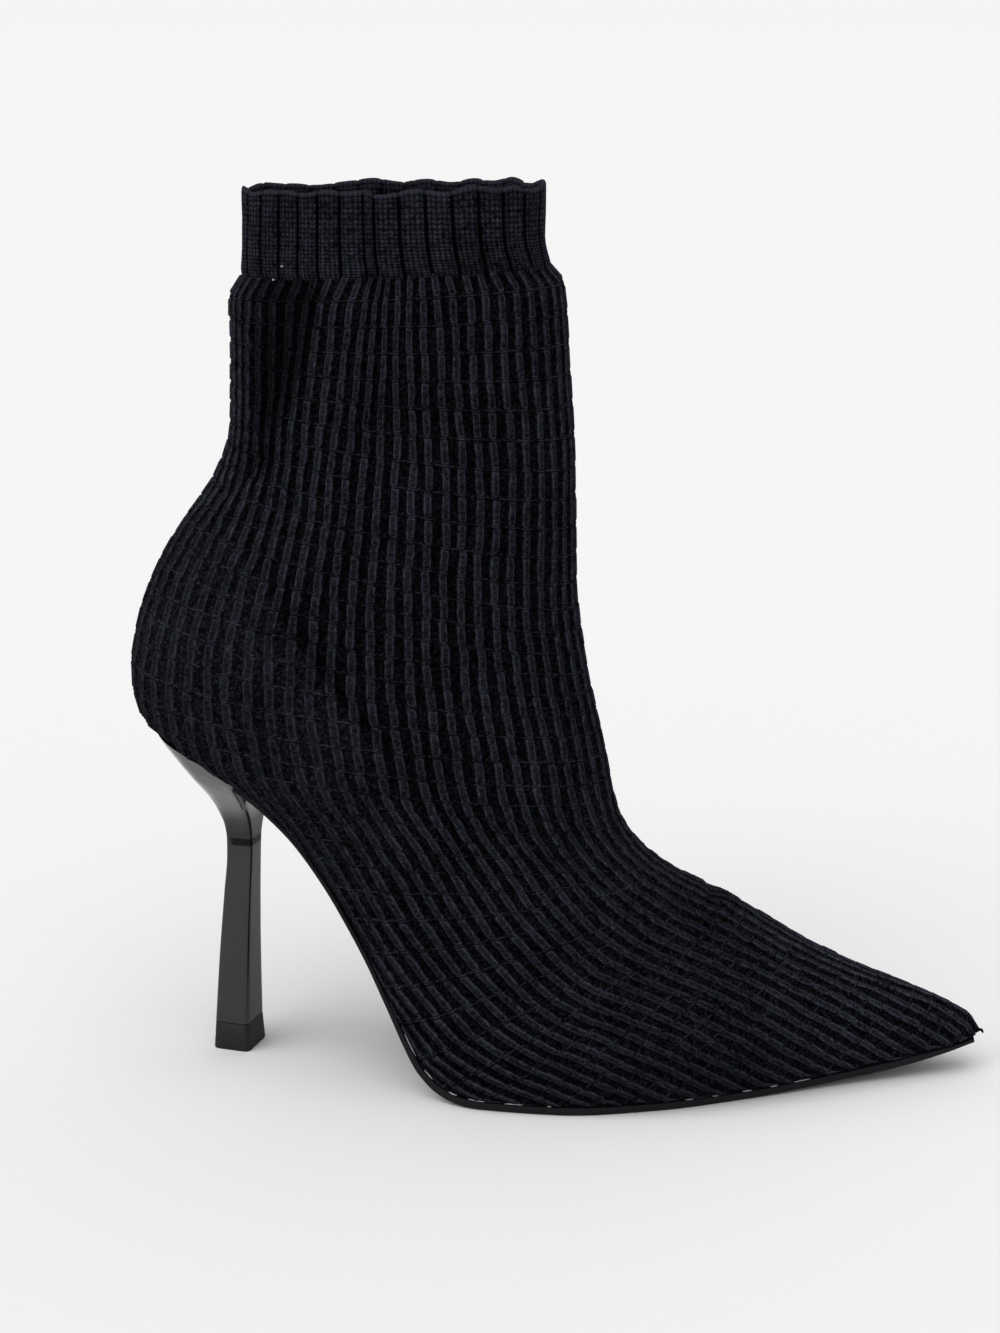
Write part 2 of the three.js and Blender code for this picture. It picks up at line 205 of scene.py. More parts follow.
keyed = np.array([
    [i / (len(sections) - 1), r[0] * shoe_length - back_overhang, r[1] * shoe_height,
     r[2] * shoe_length - back_overhang, r[3] * shoe_height, r[4] * ball_width, r[5], r[6], r[7]]
    for i, r in enumerate(sections)])
bottom_line = [[r[0] * shoe_length - back_overhang, r[1] * shoe_height] for r in bottom]
swing_line = [[r[0] * shoe_length - back_overhang, r[1] * ball_width] for r in swing]


def bed_at(x):
    return read_table(bottom_line, x, 1)


def swing_at(x):
    return read_table(swing_line, x, 1)


def bed_offset(x, depth):
    """The bed line moved square to itself, down for a positive depth."""
    rise = bed_at(x + 0.5) - bed_at(x - 0.5)
    length = np.hypot(1.0, rise)
    return x + rise / length * depth, bed_at(x) - depth / length


def spine(t, depth):
    """Back and front points of a section, each moved inward by a depth."""
    def at(s):
        return [read_table(keyed, np.clip(s, 0, 1), c) for c in (1, 2, 3, 4)]
    p = at(t)
    a = at(t - 0.012)
    b = at(t + 0.012)
    bx, bz = b[0] - a[0], b[1] - a[1]
    fx, fz = b[2] - a[2], b[3] - a[3]
    sx, sz = p[2] - p[0], p[3] - p[1]
    bl = np.hypot(bx, bz)
    fl = np.hypot(fx, fz)
    sl = np.hypot(sx, sz)
    sx, sz = sx / sl, sz / sl
    back_skew = np.maximum(0.35, np.abs(bx / bl * sz - bz / bl * sx))
    front_skew = np.maximum(0.35, np.abs(fx / fl * sz - fz / fl * sx))
    return (p[0] + sx * depth / back_skew, p[1] + sz * depth / back_skew,
            p[2] - sx * depth / front_skew, p[3] - sz * depth / front_skew)


def upper_point(t, turn, depth=0.0):
    """Points of the upper's surface. Turn 0 is the back or bottom, 0.25 the outer side."""
    t, turn, depth = np.broadcast_arrays(np.asarray(t, float), turn, depth)
    back_x, back_z, front_x, front_z = spine(t, depth)
    half = np.maximum(0.4, read_table(keyed, t, 5) - depth)
    mid = read_table(keyed, t, 6)
    c = np.cos(turn * 2 * np.pi)
    s = np.sin(turn * 2 * np.pi)
    square = np.where(c > 0, read_table(keyed, t, 7), read_table(keyed, t, 8))
    power = 2 / square
    along = np.abs(c) ** power
    u = np.where(c > 0, mid * (1 - along), mid + (1 - mid) * along)
    x = back_x + (front_x - back_x) * u
    z = back_z + (front_z - back_z) * u
    y = swing_at(x) - np.sign(s) * np.abs(s) ** power * half
    return np.stack([x, y, z], -1)


def upper_normal(t, turn):
    """Outward normals of the upper's surface."""
    dt = 0.003
    du = 0.002
    along = upper_point(np.clip(t + dt, 0, 1), turn) - upper_point(np.clip(t - dt, 0, 1), turn)
    across = upper_point(t, turn + du) - upper_point(t, turn - du)
    n = np.cross(along, across)
    n /= np.maximum(np.linalg.norm(n, axis=-1, keepdims=True), 1e-9)
    middle = upper_point(t, 0.25) * 0.5 + upper_point(t, 0.75) * 0.5
    outward = np.sum(n * (upper_point(t, turn) - middle), axis=-1, keepdims=True)
    return n * np.where(outward < 0, -1.0, 1.0)


cuff_share = cuff_height / (shoe_height * (sections[0][1] - sections[2][1]))
cuff_end = cuff_share * 2 / (len(sections) - 1)


def cuff_line(turn):
    """Section share at the cuff's lower edge: a little lower at the front than at the back."""
    return cuff_end * (1 + 0.16 * (0.5 - 0.5 * np.cos(turn * 2 * np.pi)) ** 2)


def ring_arc(t, count=1200):
    """Turns and arc lengths from the top ridge down one side of a section, and the arc length
    at which it meets the bed."""
    turns = np.linspace(0.5, 0.0, count)
    ring = upper_point(t, turns)
    steps = np.linalg.norm(np.diff(ring, axis=0), axis=1)
    arc = np.concatenate([[0.0], np.cumsum(steps)])
    below = ring[:, 2] < bed_at(ring[:, 0])
    below[turns > 0.25] = False
    if below.any():
        i = int(np.argmax(below))
        gap = ring[:, 2] - bed_at(ring[:, 0])
        share = gap[i - 1] / (gap[i - 1] - gap[i])
        feather = arc[i - 1] + share * (arc[i] - arc[i - 1])
    else:
        feather = arc[-1]
    return turns, arc, feather


def back_section():
    """The section at which the back of the upper turns in onto the bed."""
    low, high = 0.3, 0.6
    for _ in range(24):
        t = (low + high) / 2
        p = upper_point(t, 0.0)
        if p[2] > bed_at(p[0]):
            low = t
        else:
            high = t
    return high


turn_in = back_section()


# Meshes
def mesh_piece(name, points, faces, material, uv=None, smooth_angle=None, stretch=None):
    """A mesh object from points in millimetres, faces and one texture place for each point."""
    mesh = bpy.data.meshes.new(name)
    mesh.from_pydata((np.asarray(points) / 1000.0).tolist(), [], faces)
    mesh.update()
    mesh.validate()
    for label, places in (("knit", uv), ("stretch", stretch)):
        if places is not None:
            layer = mesh.uv_layers.new(name=label)
            corner = np.empty(len(mesh.loops), np.int64)
            mesh.loops.foreach_get("vertex_index", corner)
            layer.data.foreach_set("uv", np.asarray(places, np.float32)[corner].ravel())
    mesh.polygons.foreach_set("use_smooth", [True] * len(mesh.polygons))
    if smooth_angle is not None:
        mesh.set_sharp_from_angle(angle=math.radians(smooth_angle))
    mesh.materials.append(material)
    piece = bpy.data.objects.new(name, mesh)
    bpy.context.scene.collection.objects.link(piece)
    return piece


def grid_faces(rows, cols, closed=False, skip=None):
    """Quads of a grid of points, row by row."""
    faces = []
    last = cols if closed else cols - 1
    for i in range(rows - 1):
        for j in range(last):
            k = (j + 1) % cols
            if skip is not None and skip[i, j]:
                continue
            faces.append((i * cols + j, i * cols + k, (i + 1) * cols + k, (i + 1) * cols + j))
    return faces


def close_map(piece, ribs, middle):
    """Puts the last column of a rib map one turn on, where the ring of ribs closes."""
    layer = piece.data.uv_layers["knit"]
    for face in piece.data.polygons:
        us = [layer.data[k].uv[0] for k in face.loop_indices]
        if max(us) - min(us) > ribs / 2:
            for k in face.loop_indices:
                if layer.data[k].uv[0] < middle:
                    layer.data[k].uv[0] += ribs


# Materials
def new_group(name, inputs, outputs):
    group = bpy.data.node_groups.new(name, "ShaderNodeTree")
    for label, kind, value in inputs:
        socket = group.interface.new_socket(name=label, in_out="INPUT", socket_type=kind)
        if value is not None:
            socket.default_value = value
    for label, kind in outputs:
        group.interface.new_socket(name=label, in_out="OUTPUT", socket_type=kind)
    return group, Nodes(group)


class Nodes:
    """Short hand for adding nodes to a tree and joining them."""

    def __init__(self, tree):
        self.tree = tree

    def add(self, kind, **settings):
        node = self.tree.nodes.new(kind)
        for key, value in settings.items():
            setattr(node, key, value)
        return node

    def link(self, source, target):
        self.tree.links.new(source, target)

    def math(self, operation, a, b=None, c=None, clamp=False):
        node = self.add("ShaderNodeMath", operation=operation, use_clamp=clamp)
        for i, value in enumerate((a, b, c)):
            if value is None:
                continue
            if isinstance(value, (int, float)):
                node.inputs[i].default_value = value
            else:
                self.link(value, node.inputs[i])
        return node.outputs[0]

    def times(self, a, b):
        return self.math("MULTIPLY", a, b)

    def scaled(self, value, factor, base, clamp=False):
        """The value times a factor, plus a base."""
        return self.math("MULTIPLY_ADD", value, factor, base, clamp=clamp)

    def place(self):
        return self.add("ShaderNodeTexCoord").outputs["Object"]

    def map_place(self, name):
        return self.add("ShaderNodeUVMap", uv_map=name).outputs["UV"]

    def parts(self, vector):
        """The X, Y and Z outputs of a vector."""
        node = self.add("ShaderNodeSeparateXYZ")
        self.link(vector, node.inputs[0])
        return node.outputs

    def ramp(self, value, stops):
        """A curve through (place, height) stops."""
        node = self.add("ShaderNodeValToRGB")
        node.color_ramp.interpolation = "LINEAR"
        elements = node.color_ramp.elements
        while len(elements) > 1:
            elements.remove(elements[-1])
        for i, (place, height) in enumerate(stops):
            e = elements[0] if i == 0 else elements.new(place)
            e.position = place
            e.color = (height, height, height, 1)
        self.link(value, node.inputs[0])
        return node.outputs[0]

    def mix_color(self, factor, a, b):
        node = self.add("ShaderNodeMix", data_type="RGBA")
        if isinstance(factor, (int, float)):
            node.inputs[0].default_value = factor
        else:
            self.link(factor, node.inputs[0])
        for index, value in ((6, a), (7, b)):
            if isinstance(value, tuple):
                node.inputs[index].default_value = value
            else:
                self.link(value, node.inputs[index])
        return node.outputs[2]

    def step(self, value, low, high):
        """Soft step from 0 at low to 1 at high, also for a high below the low."""
        node = self.add("ShaderNodeMapRange", interpolation_type="SMOOTHSTEP")
        node.inputs["From Min"].default_value = low
        node.inputs["From Max"].default_value = high
        self.link(value, node.inputs["Value"])
        return node.outputs["Result"]

    def noise(self, vector, scale, detail=3.0, roughness=0.55):
        node = self.add("ShaderNodeTexNoise")
        node.inputs["Scale"].default_value = scale
        node.inputs["Detail"].default_value = detail
        node.inputs["Roughness"].default_value = roughness
        if vector is not None:
            self.link(vector, node.inputs["Vector"])
        return node.outputs["Fac"]


def stitch_group():
    """Rows of knitted stitches, as the height of the yarn."""
    group, n = new_group(
        "knit stitches",
        [("Place", "NodeSocketVector", None), ("Wales", "NodeSocketFloat", 4.0),
         ("Courses", "NodeSocketFloat", 8.0), ("Slant", "NodeSocketFloat", 0.5)],
        [("Height", "NodeSocketFloat")])
    source = n.add("NodeGroupInput")
    result = n.add("NodeGroupOutput")
    parts = n.parts(source.outputs["Place"])
    u = n.times(parts["X"], source.outputs["Wales"])
    v = n.times(parts["Y"], source.outputs["Courses"])
    wale = n.math("FRACT", u)
    side = n.math("ABSOLUTE", n.math("SUBTRACT", wale, 0.5))
    slanted = n.math("ADD", v, n.times(side, n.times(source.outputs["Slant"], 2.0)))
    course = n.math("FRACT", slanted)
    leg = n.math("SINE", n.times(side, 2 * math.pi))
    loop = n.math("SINE", n.times(course, math.pi))
    height = n.times(n.math("POWER", n.math("MAXIMUM", leg, 0.0), 0.6),
                     n.math("POWER", n.math("MAXIMUM", loop, 0.0), 0.5))
    n.link(height, result.inputs["Height"])
    return group


def fuzz_group():
    """Uneven yarn: shade changes of several sizes, fine roughness and single light fibres."""
    group, n = new_group(
        "yarn fuzz",
        [("Shade", "NodeSocketFloat", 5.0), ("Fibres", "NodeSocketFloat", 0.5)],
        [("Tone", "NodeSocketFloat"), ("Fine", "NodeSocketFloat"), ("Lint", "NodeSocketFloat"),
         ("Grains", "NodeSocketFloat")])
    source = n.add("NodeGroupInput")
    result = n.add("NodeGroupOutput")
    place = n.place()
    slow = n.noise(place, 70.0, 3.0)
    middle = n.noise(place, 560.0, 2.0)
    fine = n.noise(place, 1150.0, 2.0, 0.65)
    mixed = n.math("ADD", n.times(slow, 0.18),
                   n.math("ADD", n.times(middle, 0.36), n.times(fine, 0.46)))
    tone = n.scaled(n.math("SUBTRACT", mixed, 0.5), source.outputs["Shade"], 1.0)
    tone = n.math("MAXIMUM", tone, 0.06)
    n.link(tone, result.inputs["Tone"])
    n.link(fine, result.inputs["Fine"])
    lint = n.ramp(n.noise(place, 900.0, 1.0), [(0.0, 0.0), (0.70, 0.0), (0.80, 1.0)])
    n.link(n.times(lint, source.outputs["Fibres"]), result.inputs["Lint"])
    cells = n.add("ShaderNodeTexVoronoi", feature="F1")
    cells.inputs["Scale"].default_value = 1050.0
    n.link(place, cells.inputs["Vector"])
    n.link(n.step(cells.outputs["Distance"], 0.70, 0.10), result.inputs["Grains"])
    return group


drawn_pitch = 4.9
drawn_block = 7.6
dots_in_block = 5


def block_group():
    """Blocks of the ribs: the inside of a block, its outline, the bar between two blocks,
    the thin line across the gap and the dots down the middle. Place is in ribs and courses."""
    group, n = new_group(
        "rib blocks",
        [("Place", "NodeSocketVector", None), ("Half Width", "NodeSocketFloat", 1.12),
         ("Half Length", "NodeSocketFloat", 3.42), ("Jitter", "NodeSocketFloat", 0.7)],
        [("Inside", "NodeSocketFloat"), ("Outline", "NodeSocketFloat"), ("Bar", "NodeSocketFloat"),
         ("Line", "NodeSocketFloat"), ("Dots", "NodeSocketFloat")])
    source = n.add("NodeGroupInput")
    result = n.add("NodeGroupOutput")
    parts = n.parts(source.outputs["Place"])
    place = n.place()
    shake = n.add("ShaderNodeTexNoise")
    shake.inputs["Scale"].default_value = 420.0
    shake.inputs["Detail"].default_value = 2.0
    n.link(place, shake.inputs["Vector"])
    shakes = n.parts(shake.outputs["Color"])

    def across_period(value, size, axis):
        inside = n.math("FRACT", value)
        off = n.times(n.math("SUBTRACT", inside, 0.5), size)
        moved = n.scaled(n.math("SUBTRACT", shakes[axis], 0.5), source.outputs["Jitter"], off)
        return n.math("ABSOLUTE", moved)

    ax = across_period(n.math("ADD", parts["X"], 0.5), drawn_pitch, 0)
    by = across_period(parts["Y"], drawn_block, 1)
    corner = 0.62
    wide = n.math("SUBTRACT", source.outputs["Half Width"], corner)
    tall = n.math("SUBTRACT", source.outputs["Half Length"], corner)
    qx = n.math("MAXIMUM", n.math("SUBTRACT", ax, wide), 0.0)
    qy = n.math("MAXIMUM", n.math("SUBTRACT", by, tall), 0.0)
    far = n.math("SQRT", n.math("ADD", n.times(qx, qx), n.times(qy, qy)))
    far = n.math("SUBTRACT", far, corner)
    n.link(n.step(far, 0.26, -0.12), result.inputs["Inside"])
    n.link(n.step(n.math("ABSOLUTE", n.math("ADD", far, 0.30)), 0.40, 0.10), result.inputs["Outline"])
    n.link(n.times(n.step(by, 3.56, 3.70), n.step(ax, 1.45, 1.05)), result.inputs["Bar"])
    broken = n.step(n.noise(place, 330.0, 1.0), 0.43, 0.52)
    n.link(n.times(n.step(by, 3.50, 3.66), broken), result.inputs["Line"])
    beads = n.math("SINE", n.times(parts["Y"], 2 * math.pi * dots_in_block))
    n.link(n.times(n.step(beads, -0.2, 0.6), n.step(ax, 0.62, 0.22)), result.inputs["Dots"])
    return group


stitches = stitch_group()
fuzz = fuzz_group()
blocks = block_group()


def new_material(name):
    material = bpy.data.materials.new(name)
    material.use_nodes = True
    nodes = Nodes(material.node_tree)
    shader = material.node_tree.nodes["Principled BSDF"]
    return material, nodes, shader


def add_group(n, tree, **values):
    """A node for one of the groups above, with its named inputs set."""
    node = n.add("ShaderNodeGroup")
    node.node_tree = tree
    for label, value in values.items():
        node.inputs[label].default_value = value
    return node


def add_stitches(n, place, wales, courses, slant):
    node = add_group(n, stitches, Wales=wales, Courses=courses, Slant=slant)
    n.link(place, node.inputs["Place"])
    return node


def add_fuzz(n, shade, fibres):
    return add_group(n, fuzz, Shade=shade, Fibres=fibres)


def tinted(n, color, tone):
    """A colour made darker or lighter by a tone."""
    node = n.add("ShaderNodeMix", data_type="RGBA", blend_type="MULTIPLY")
    node.inputs[0].default_value = 1.0
    n.link(color, node.inputs[6])
    n.link(tone, node.inputs[7])
    return node.outputs[2]


def yarn(value):
    """Blue-black yarn of a given lightness."""
    return (0.93 * value, 0.99 * value, 1.34 * value, 1)


def finish(n, shader, color, roughness, specular, height, strength, relief):
    """Joins a colour, a roughness and a bump to a shader. Relief is in metres."""
    n.link(color, shader.inputs["Base Color"])
    n.link(roughness, shader.inputs["Roughness"])
    shader.inputs["Specular IOR Level"].default_value = specular
    bump = n.add("ShaderNodeBump")
    bump.inputs["Strength"].default_value = strength
    bump.inputs["Distance"].default_value = relief
    n.link(height, bump.inputs["Height"])
    n.link(bump.outputs["Normal"], shader.inputs["Normal"])


def finish_yarn(n, shader, color, fine, height):
    """The dull, soft surface of the knit, with its yarn raised."""
    finish(n, shader, color, n.scaled(fine, 0.2, 0.76), 0.012, height, 1.0, 0.0006)
    shader.inputs["Sheen Weight"].default_value = 0.002
    shader.inputs["Sheen Roughness"].default_value = 0.5


def body_material():
    """Ribbed knit: speckled gaps painted dark as shade between the ribs, and ribs in blocks whose
    light outlines are painted highlights on the block edges, calmer where the stretch map says so. The
    stretch map's second channel darkens folds with painted shade and lightens the toe with painted
    light."""
    material, n, shader = new_material("ribbed knit")
    uv = n.map_place("knit")
    spread = n.parts(n.map_place("stretch"))
    stretch = spread["X"]
    shape = add_group(n, blocks)
    n.link(uv, shape.inputs["Place"])
    inside = shape.outputs["Inside"]
    fuzzy = add_fuzz(n, 12.0, 0.5)
    n.link(n.scaled(inside, -2.0, 7.5), fuzzy.inputs["Shade"])
    # Painted shade: the gaps between the rib blocks get far darker yarn than the ribs; the light
    # grains speckled in them are the yarn's own.
    crest = n.mix_color(stretch, yarn(0.0056), yarn(0.0090))
    shade = n.mix_color(stretch, yarn(0.0010), yarn(0.0020))
    gap = n.mix_color(fuzzy.outputs["Grains"], shade, crest)
    fabric = n.mix_color(inside, gap, n.mix_color(stretch, yarn(0.0072), yarn(0.0060)))
    calm = n.scaled(stretch, -0.36, 1.0)
    layers = [
        # output, how far it shows, lightness
        ("Line", n.scaled(stretch, 0.38, 0.52), 0.0170),
        # Outline: painted highlight on the rounded edges of the rib blocks.
        ("Outline", n.times(calm, 0.95), 0.0222),
        ("Bar", n.times(calm, 0.8), 0.0190),
        ("Dots", n.times(inside, 0.6), 0.0035),
    ]
    for output, share, lightness in layers:
        fabric = n.mix_color(n.times(shape.outputs[output], share), fabric, yarn(lightness))
    fabric = tinted(n, fabric, fuzzy.outputs["Tone"])
    # Painted shade and light from the stretch map's second channel: darker in the folds and troughs,
    # lighter over the toe.
    fabric = tinted(n, fabric, n.scaled(spread["Y"], -0.66, 1.0))
    fabric = n.mix_color(n.times(fuzzy.outputs["Lint"], 0.22), fabric, yarn(0.034))
    height = n.math("ADD", n.times(shape.outputs["Outline"], 0.4), fuzzy.outputs["Fine"])
    finish_yarn(n, shader, fabric, fuzzy.outputs["Fine"], height)
    return material


def cuff_material():
    """Cuff knit: columns of small stitches, five to a rib, with painted shade darkening the grooves
    between the ribs and a painted highlight along the rim.
    """
    material, n, shader = new_material("cuff rib knit")
    uv = n.map_place("knit")
    parts = n.parts(uv)
    across = n.math("FRACT", n.math("ADD", parts["X"], 0.5))
    groove = n.ramp(across, [(0.0, 0.0), (0.37, 0.0), (0.45, 1.0), (0.55, 1.0), (0.63, 0.0)])
    knit = add_stitches(n, uv, 2.5, 6.3, 0.22)
    fuzzy = add_fuzz(n, 7.0, 0.5)
    uneven = n.scaled(n.noise(n.place(), 50.0, 2.0), 1.3, 0.30, clamp=True)
    fabric = n.mix_color(n.times(knit.outputs["Height"], uneven), yarn(0.0012), yarn(0.0190))
    # Painted shade: the yarn is darkened in the grooves between the ribs.
    fabric = n.mix_color(groove, fabric, yarn(0.0008))
    fabric = tinted(n, fabric, fuzzy.outputs["Tone"])
    # Painted highlight: the yarn is lightened along the rim, where light catches it.
    rim = n.ramp(n.math("ABSOLUTE", parts["Y"]), [(0.0, 0.75), (0.10, 0.6), (0.16, 0.0)])
    fabric = n.mix_color(rim, fabric, yarn(0.026))
    height = n.math("ADD", knit.outputs["Height"], n.times(fuzzy.outputs["Fine"], 0.6))
    finish_yarn(n, shader, fabric, fuzzy.outputs["Fine"], height)
    return material


body_knit = body_material()
cuff_knit = cuff_material()


def lining_material():
    """Plain black knit, as on the inside of the boot."""
    material, n, shader = new_material("plain knit inside")
    uv = n.map_place("knit")
    fuzzy = add_fuzz(n, 6.0, 0.3)
    knit = add_stitches(n, uv, 2.0, 6.0, -0.3)
    fabric = n.mix_color(knit.outputs["Height"], (0.0014, 0.0014, 0.002, 1), (0.006, 0.0062, 0.008, 1))
    fabric = tinted(n, fabric, fuzzy.outputs["Tone"])
    roughness = n.scaled(fuzzy.outputs["Fine"], 0.15, 0.8)
    finish(n, shader, fabric, roughness, 0.05, knit.outputs["Height"], 0.8, 0.0003)
    return material


def insole_material():
    """Insole cover: smooth black microfibre with a soft nap."""
    material, n, shader = new_material("insole microfibre")
    fuzzy = add_fuzz(n, 0.6, 0.2)
    fabric = n.mix_color(fuzzy.outputs["Fine"], (0.012, 0.012, 0.013, 1), (0.024, 0.0235, 0.024, 1))
    roughness = n.scaled(fuzzy.outputs["Fine"], 0.2, 0.66)
    finish(n, shader, fabric, roughness, 0.35, fuzzy.outputs["Fine"], 0.4, 0.00015)
    return material


def sole_material():
    """Black rubber sheet with a satin edge and a faint pebble."""
    material, n, shader = new_material("satin sole rubber")
    place = n.place()
    slow = n.noise(place, 70.0, 4.0)
    fine = n.noise(place, 1500.0, 3.0)
    shade = n.mix_color(slow, (0.006, 0.006, 0.0075, 1), (0.012, 0.012, 0.014, 1))
    pebble = n.math("ADD", fine, n.times(slow, 1.5))
    finish(n, shader, shade, n.scaled(slow, 0.25, 0.36), 0.07, pebble, 0.35, 0.00012)
    return material


neck_mark = 0.667  # height of the dark band on the neck, as a share of the heel


def lacquer_material():
    """Black heel lacquer: a clear coat over a dark ground, with soft waves and fine dust."""
    material, n, shader = new_material("heel lacquer")
    place = n.place()
    slow = n.noise(place, 60.0, 2.0)
    dust = n.ramp(n.noise(place, 1300.0, 1.0), [(0.0, 0.0), (0.66, 0.0), (0.78, 1.0)])
    shade = n.mix_color(slow, (0.006, 0.0065, 0.008, 1), (0.011, 0.0115, 0.0135, 1))
    shade = n.mix_color(n.times(dust, 0.10), shade, (0.20, 0.20, 0.21, 1))
    finish(n, shader, shade, n.scaled(slow, 0.10, 0.16), 0.03, slow, 0.10, 0.0004)
    parts = n.parts(place)
    rise = n.times(parts["Z"], 10.0)  # 1 at the top of the heel
    coat = n.ramp(rise, [(0.0, 0.28), (0.64, 0.28), (0.69, 0.20), (0.74, 0.34), (0.79, 0.9),
                         (1.0, 1.0)])
    ahead = n.times(parts["X"], 1000.0)
    level = n.step(n.math("ABSOLUTE", n.math("SUBTRACT", rise, neck_mark)), 0.014, 0.009)
    mark = n.times(level, n.times(n.step(ahead, -1.0, 0.5), n.step(ahead, 10.0, 8.5)))
    wet = n.times(n.math("SUBTRACT", 1.0, mark), coat)
    n.link(n.scaled(dust, -0.1, wet, clamp=True), shader.inputs["Coat Weight"])
    shader.inputs["Coat IOR"].default_value = 2.2
    shader.inputs["Coat Roughness"].default_value = 0.04
    return material


def tip_material():
    """Hard matte top piece with fine scuffs."""
    material, n, shader = new_material("top piece")
    place = n.place()
    fine = n.noise(place, 1800.0, 3.0)
    slow = n.noise(place, 160.0, 3.0)
    shade = n.mix_color(slow, (0.006, 0.0065, 0.008, 1), (0.012, 0.0125, 0.014, 1))
    finish(n, shader, shade, n.scaled(fine, 0.25, 0.48), 0.22, fine, 0.5, 0.0001)
    return material


inside_knit = lining_material()
insole_cover = insole_material()
sole_rubber = sole_material()
heel_lacquer = lacquer_material()
top_piece = tip_material()


# Knitted body
def counter_mask(p):
    """How far a point is within the counter, 0 to 1 over a soft edge."""
    edge = np.interp(p[..., 0], [r[0] for r in counter_edge], [r[1] for r in counter_edge])
    inside = smoothstep((edge - p[..., 2]) * 0.62, -0.4, 1.4)
    return inside * (1 - smoothstep(p[..., 0], 34.0, 62.0))


def counter_hollow(p):
    """The knit dips a little just in front of the counter's edge."""
    edge = np.interp(p[..., 0], [r[0] for r in counter_edge], [r[1] for r in counter_edge])
    ahead = (p[..., 2] - edge) * 0.62
    near = smoothstep(p[..., 0], 8.0, 20.0) * (1 - smoothstep(p[..., 0], 56.0, 68.0))
    deep = 0.55 + 0.75 * np.exp(-((p[..., 0] - 33.0) / 9.0) ** 2)
    return -deep * np.exp(-((ahead - 2.6) / 2.2) ** 2) * near


def toe_mask(p):
    """How far a point is over the toe stiffener, 0 to 1 over a soft edge."""
    edge = np.interp(p[..., 2], [r[0] for r in toe_edge], [r[1] for r in toe_edge])
    return smoothstep((p[..., 0] - edge) * 0.85, -0.4, 1.4)


def toe_dip(p):
    """The knit dips along the back edge of the toe stiffener, where it runs up over the vamp."""
    edge = np.interp(p[..., 2], [r[0] for r in toe_edge], [r[1] for r in toe_edge])
    behind = (edge - p[..., 0]) * 0.85
    near = smoothstep(p[..., 2], 30.0, 37.0)
    return -0.8 * np.exp(-((behind - 0.8) / 1.3) ** 2) * near


def crease_lift(p):
    """Soft troughs and ridges on the outer side, fainter on the inner side."""
    outer = 0.35 + 0.65 * smoothstep(swing_at(p[..., 0]) - p[..., 1], -4.0, 6.0)
    total = np.zeros(p.shape[:-1])
    for x, z, angle, length, width, depth in creases:
        ax, az = math.cos(math.radians(angle)), math.sin(math.radians(angle))
        dx, dz = p[..., 0] - x, p[..., 2] - z
        along = dx * ax + dz * az
        across = -dx * az + dz * ax
        total += depth * np.exp(-(across / width) ** 2 - (along / length) ** 4)
    return total * outer


def fold_shade(p):
    """How deep a point lies in a trough, 0 to 1; the knit's colour is darkened by it as painted shade.
    """
    return np.clip(-(crease_lift(p) + counter_hollow(p) + toe_dip(p)) / 1.5, 0.0, 1.0)


def waves(u, v, seed, count=7, low=0.15, high=0.6):
    """Smooth seeded unevenness, about -1 to 1, from a few crossed sine waves."""
    rng = np.random.default_rng(seed)
    total = np.zeros(np.broadcast(u, v).shape)
    for _ in range(count):
        a, b = rng.uniform(low, high, 2) * rng.choice([-1, 1], 2)
        total += np.sin(a * u + b * v + rng.uniform(0, 2 * np.pi))
    return total / math.sqrt(count)


shift_of_block = chance.uniform(-1, 1, (80, 80))
lean_of_block = chance.uniform(-1, 1, (80, 80))
height_of_block = chance.uniform(-1, 1, (80, 80))


def block_value(table, index, course):
    """A seeded value for each block of each rib, joined softly where two blocks meet."""
    rib = np.round(index).astype(int) + 40
    block = int(math.floor(course + 1e-6))
    place = course - block
    here = table[rib, block]
    if place < 0.03:
        return (here + table[rib, block - 1]) / 2
    return here


def block_shift(index, course):
    place = course - math.floor(course + 1e-6) - 0.5
    return (0.06 * block_value(shift_of_block, index, course)
            + 0.07 * place * block_value(lean_of_block, index, course) * (abs(place) < 0.47))


def course_rows():
    """Section share, course number and block place of each row of the body knit."""
    shares = np.linspace(0.0, 1.0, 1201)
    side = (upper_point(shares, 0.25) + upper_point(shares, 0.75)) / 2
    steps = np.linalg.norm(np.diff(side, axis=0), axis=1)
    size = read_table(block_length, (shares[1:] + shares[:-1]) / 2, 1)
    course = np.concatenate([[0.0], np.cumsum(steps / size)])
    first = np.interp(cuff_end - 0.004, shares, course)
    rows = []
    for block in range(int(first), int(course[-1]) + 1):
        for place, dip, in_gap in block_profile:
            at = block + place
            if first <= at <= course[-1]:
                rows.append((float(np.interp(at, course, shares)), at, dip, in_gap))
    rows.append((1.0, float(course[-1]), 0.0, 0.0))
    return rows


def fold_shift(index, t):
    """Ribs below the cuff lean towards the front on the outer side, where the knit folds."""
    top = 1 - float(smoothstep(t, cuff_end, cuff_end + 0.13))
    back = 2.3 * np.exp(-((index + 17.5) / 4.4) ** 2)
    side = 0.25 * np.exp(-((index + 10.0) / 6.0) ** 2)
    return top * (back + side)


